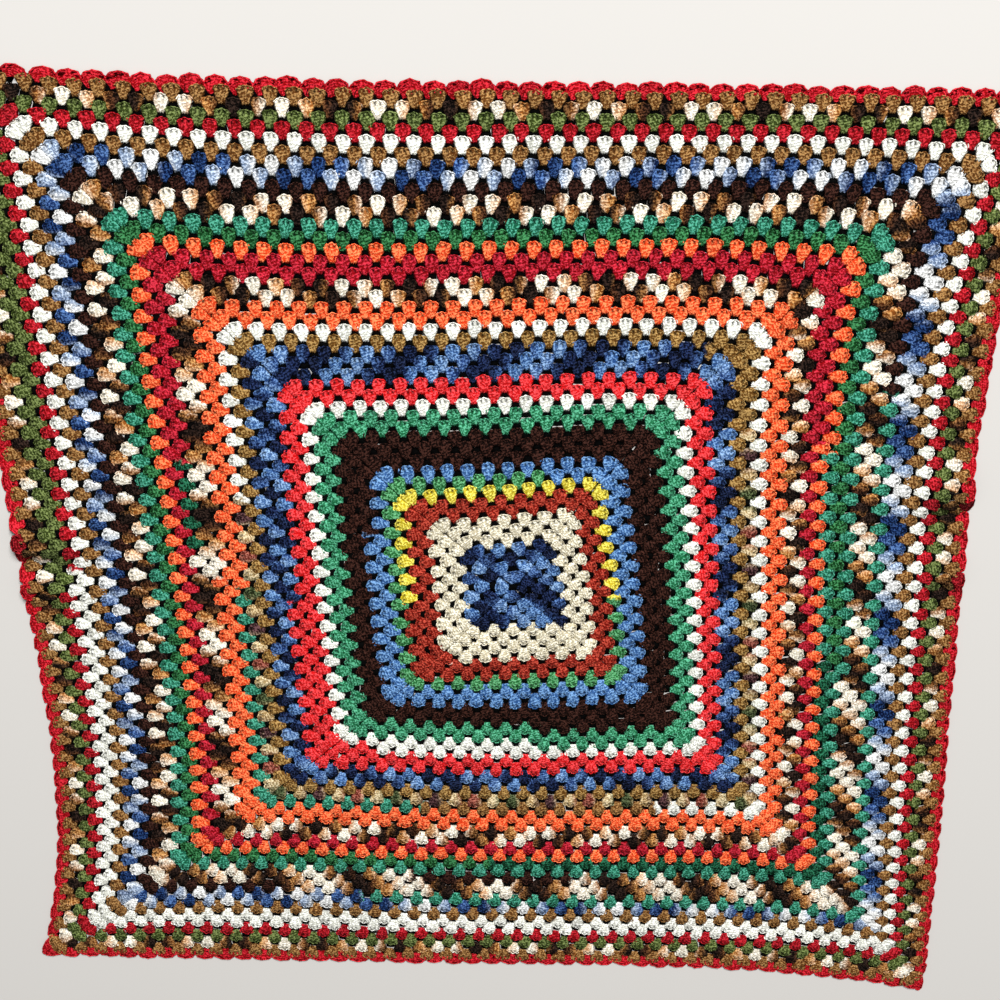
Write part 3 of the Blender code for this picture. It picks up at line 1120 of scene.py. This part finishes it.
# The top side is one lap behind the others, and catches up within this share of its length.
TOP_STEP_FRACTION = 0.08
# The shells at a corner stand back from it by this share of the side, and are shorter by this
# share of a lap, so that the corner is round.
CORNER_SHELL_BACK = 0.003
CORNER_SHELL_DROP = 0.15


def lap_on_side(side, lap, along):
    return lap - smooth_step(along / TOP_STEP_FRACTION) if side == "top" else lap


def stand_shells(row):
    """The foot, the top and the pitch across of the shells of one side."""
    number = np.arange(row.shells, dtype=float)
    gap = number - (row.shells - 1) / 2.0
    behind = 1.0 if row.side == "top" else 0.0
    at_corner = np.abs(gap) > row.shells / 2.0 - 1.0
    foot_along = 0.5 + gap / (SHELL_FOOT_LAP - behind)
    foot = place(row.side, lap_on_side(row.side, SHELL_FOOT_LAP, foot_along), foot_along)
    top_lap = row.top_lap - np.where(at_corner, CORNER_SHELL_DROP, 0.0)
    top_along = 0.5 + gap / (top_lap - behind)
    top_along = top_along - np.where(at_corner, np.sign(gap) * CORNER_SHELL_BACK, 0.0)
    top = place(row.side, lap_on_side(row.side, top_lap, top_along), top_along)
    half = 0.5 / (SHELL_MIDDLE_LAP - behind)
    middle = 0.5 + gap / (SHELL_MIDDLE_LAP - behind)
    lap = lap_on_side(row.side, SHELL_MIDDLE_LAP, middle)
    across = place(row.side, lap, middle + half) - place(row.side, lap, middle - half)
    laps = np.full(row.shells, float(row.shells))
    return Standing(foot, top, across, laps, number, number)


all_shells = [stand_shells(row) for row in SHELL_ROWS]
print("shells:", {row.side: row.shells for row in SHELL_ROWS})

# %% Build the four pieces of edging
edging_yarn = yarn_material("edging_yarn")
EDGING_TINT = linear(YARNS["edging red"][0][1])


def half_row(k, chosen):
    """The points and colours of some of the shells of one side."""
    some = chosen_from(all_shells[k], chosen)
    tints = np.broadcast_to(EDGING_TINT, (len(some.foot), len(shells[k][0].points), 3))
    tints, crease = varied(SHELL_ROWS[k].side, some, tints)
    return copies(shells[k], SHELL_HEIGHT, some, tints, crease, rng)


for k, name in enumerate(("bottom_right", "bottom_left", "top_left", "top_right")):
    after = (k + 1) % len(SIDES)
    late = half_row(k, ~in_first_half(all_shells[k]))
    early = half_row(after, in_first_half(all_shells[after]))
    points, yarn = (np.concatenate(both) for both in zip(late, early))
    piece = joined(f"edging_{name}", shells[0][0], points, yarn)
    piece.data.materials.append(edging_yarn)
    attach(piece, "root")
    if k == 0:
        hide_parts("shell_edging")

# %% [markdown]
# ## The stage
#
# A pale floor, an even grey-white sky, and one soft light beyond the blanket's top edge, so that
# the clusters throw small shadows into the gaps.  The camera stands beyond that edge too, and
# looks down and back over the blanket.

# %% The floor
FLOOR_HALF = 6.0
FLOOR_COLOUR = (0.62, 0.60, 0.57, 1.0)
FLOOR_ROUGHNESS = 0.85
floor_mesh = bpy.data.meshes.new("floor")
signs = ((-1, -1), (1, -1), (1, 1), (-1, 1))
floor_corners = [(x * FLOOR_HALF, y * FLOOR_HALF, 0.0) for x, y in signs]
floor_mesh.from_pydata(floor_corners, [], [(0, 1, 2, 3)])
floor = bpy.data.objects.new("floor", floor_mesh)
bpy.context.scene.collection.objects.link(floor)
floor_material = bpy.data.materials.new("pale_floor")
floor_material.use_nodes = True
floor_shader = floor_material.node_tree.nodes["Principled BSDF"]
floor_shader.inputs["Base Color"].default_value = FLOOR_COLOUR
floor_shader.inputs["Roughness"].default_value = FLOOR_ROUGHNESS
floor_mesh.materials.append(floor_material)
print("floor:", 2 * FLOOR_HALF, "m square")

# %% The light
SKY_STRENGTH = 0.25
KEY_PLACE = (1.0, 5.6, 5.8)
KEY_POWER = 950.0
KEY_SIZE = 2.5
world = bpy.data.worlds.new("studio")
bpy.context.scene.world = world
world.use_nodes = True
sky = world.node_tree.nodes["Background"]
sky.inputs["Color"].default_value = WHITE + (1.0,)
sky.inputs["Strength"].default_value = SKY_STRENGTH

key_data = bpy.data.lights.new("key", "AREA")
key_data.energy = KEY_POWER
key_data.size = KEY_SIZE
key = bpy.data.objects.new("key", key_data)
key.location = KEY_PLACE
key.rotation_mode = "QUATERNION"
key.rotation_quaternion = key.location.normalized().to_track_quat("Z", "Y")
bpy.context.scene.collection.objects.link(key)
print("key light:", KEY_POWER, "W, from", round(key.location.length, 1), "m")

# %% The camera
LENS_MM = 66.02
SENSOR_MM = 36.0
CAMERA_PLACE = (0.0105, 1.1843, 2.0939)
CAMERA_TILT = math.radians(-27.0)
camera_data = bpy.data.cameras.new("camera")
camera_data.lens = LENS_MM
camera_data.sensor_width = SENSOR_MM
camera = bpy.data.objects.new("camera", camera_data)
camera.location = CAMERA_PLACE
camera.rotation_euler = (CAMERA_TILT, 0.0, 0.0)
bpy.context.scene.collection.objects.link(camera)
bpy.context.scene.camera = camera
bpy.context.scene.view_settings.view_transform = "Standard"
print("camera:", LENS_MM, "mm lens,", CAMERA_PLACE[2], "m above the floor")
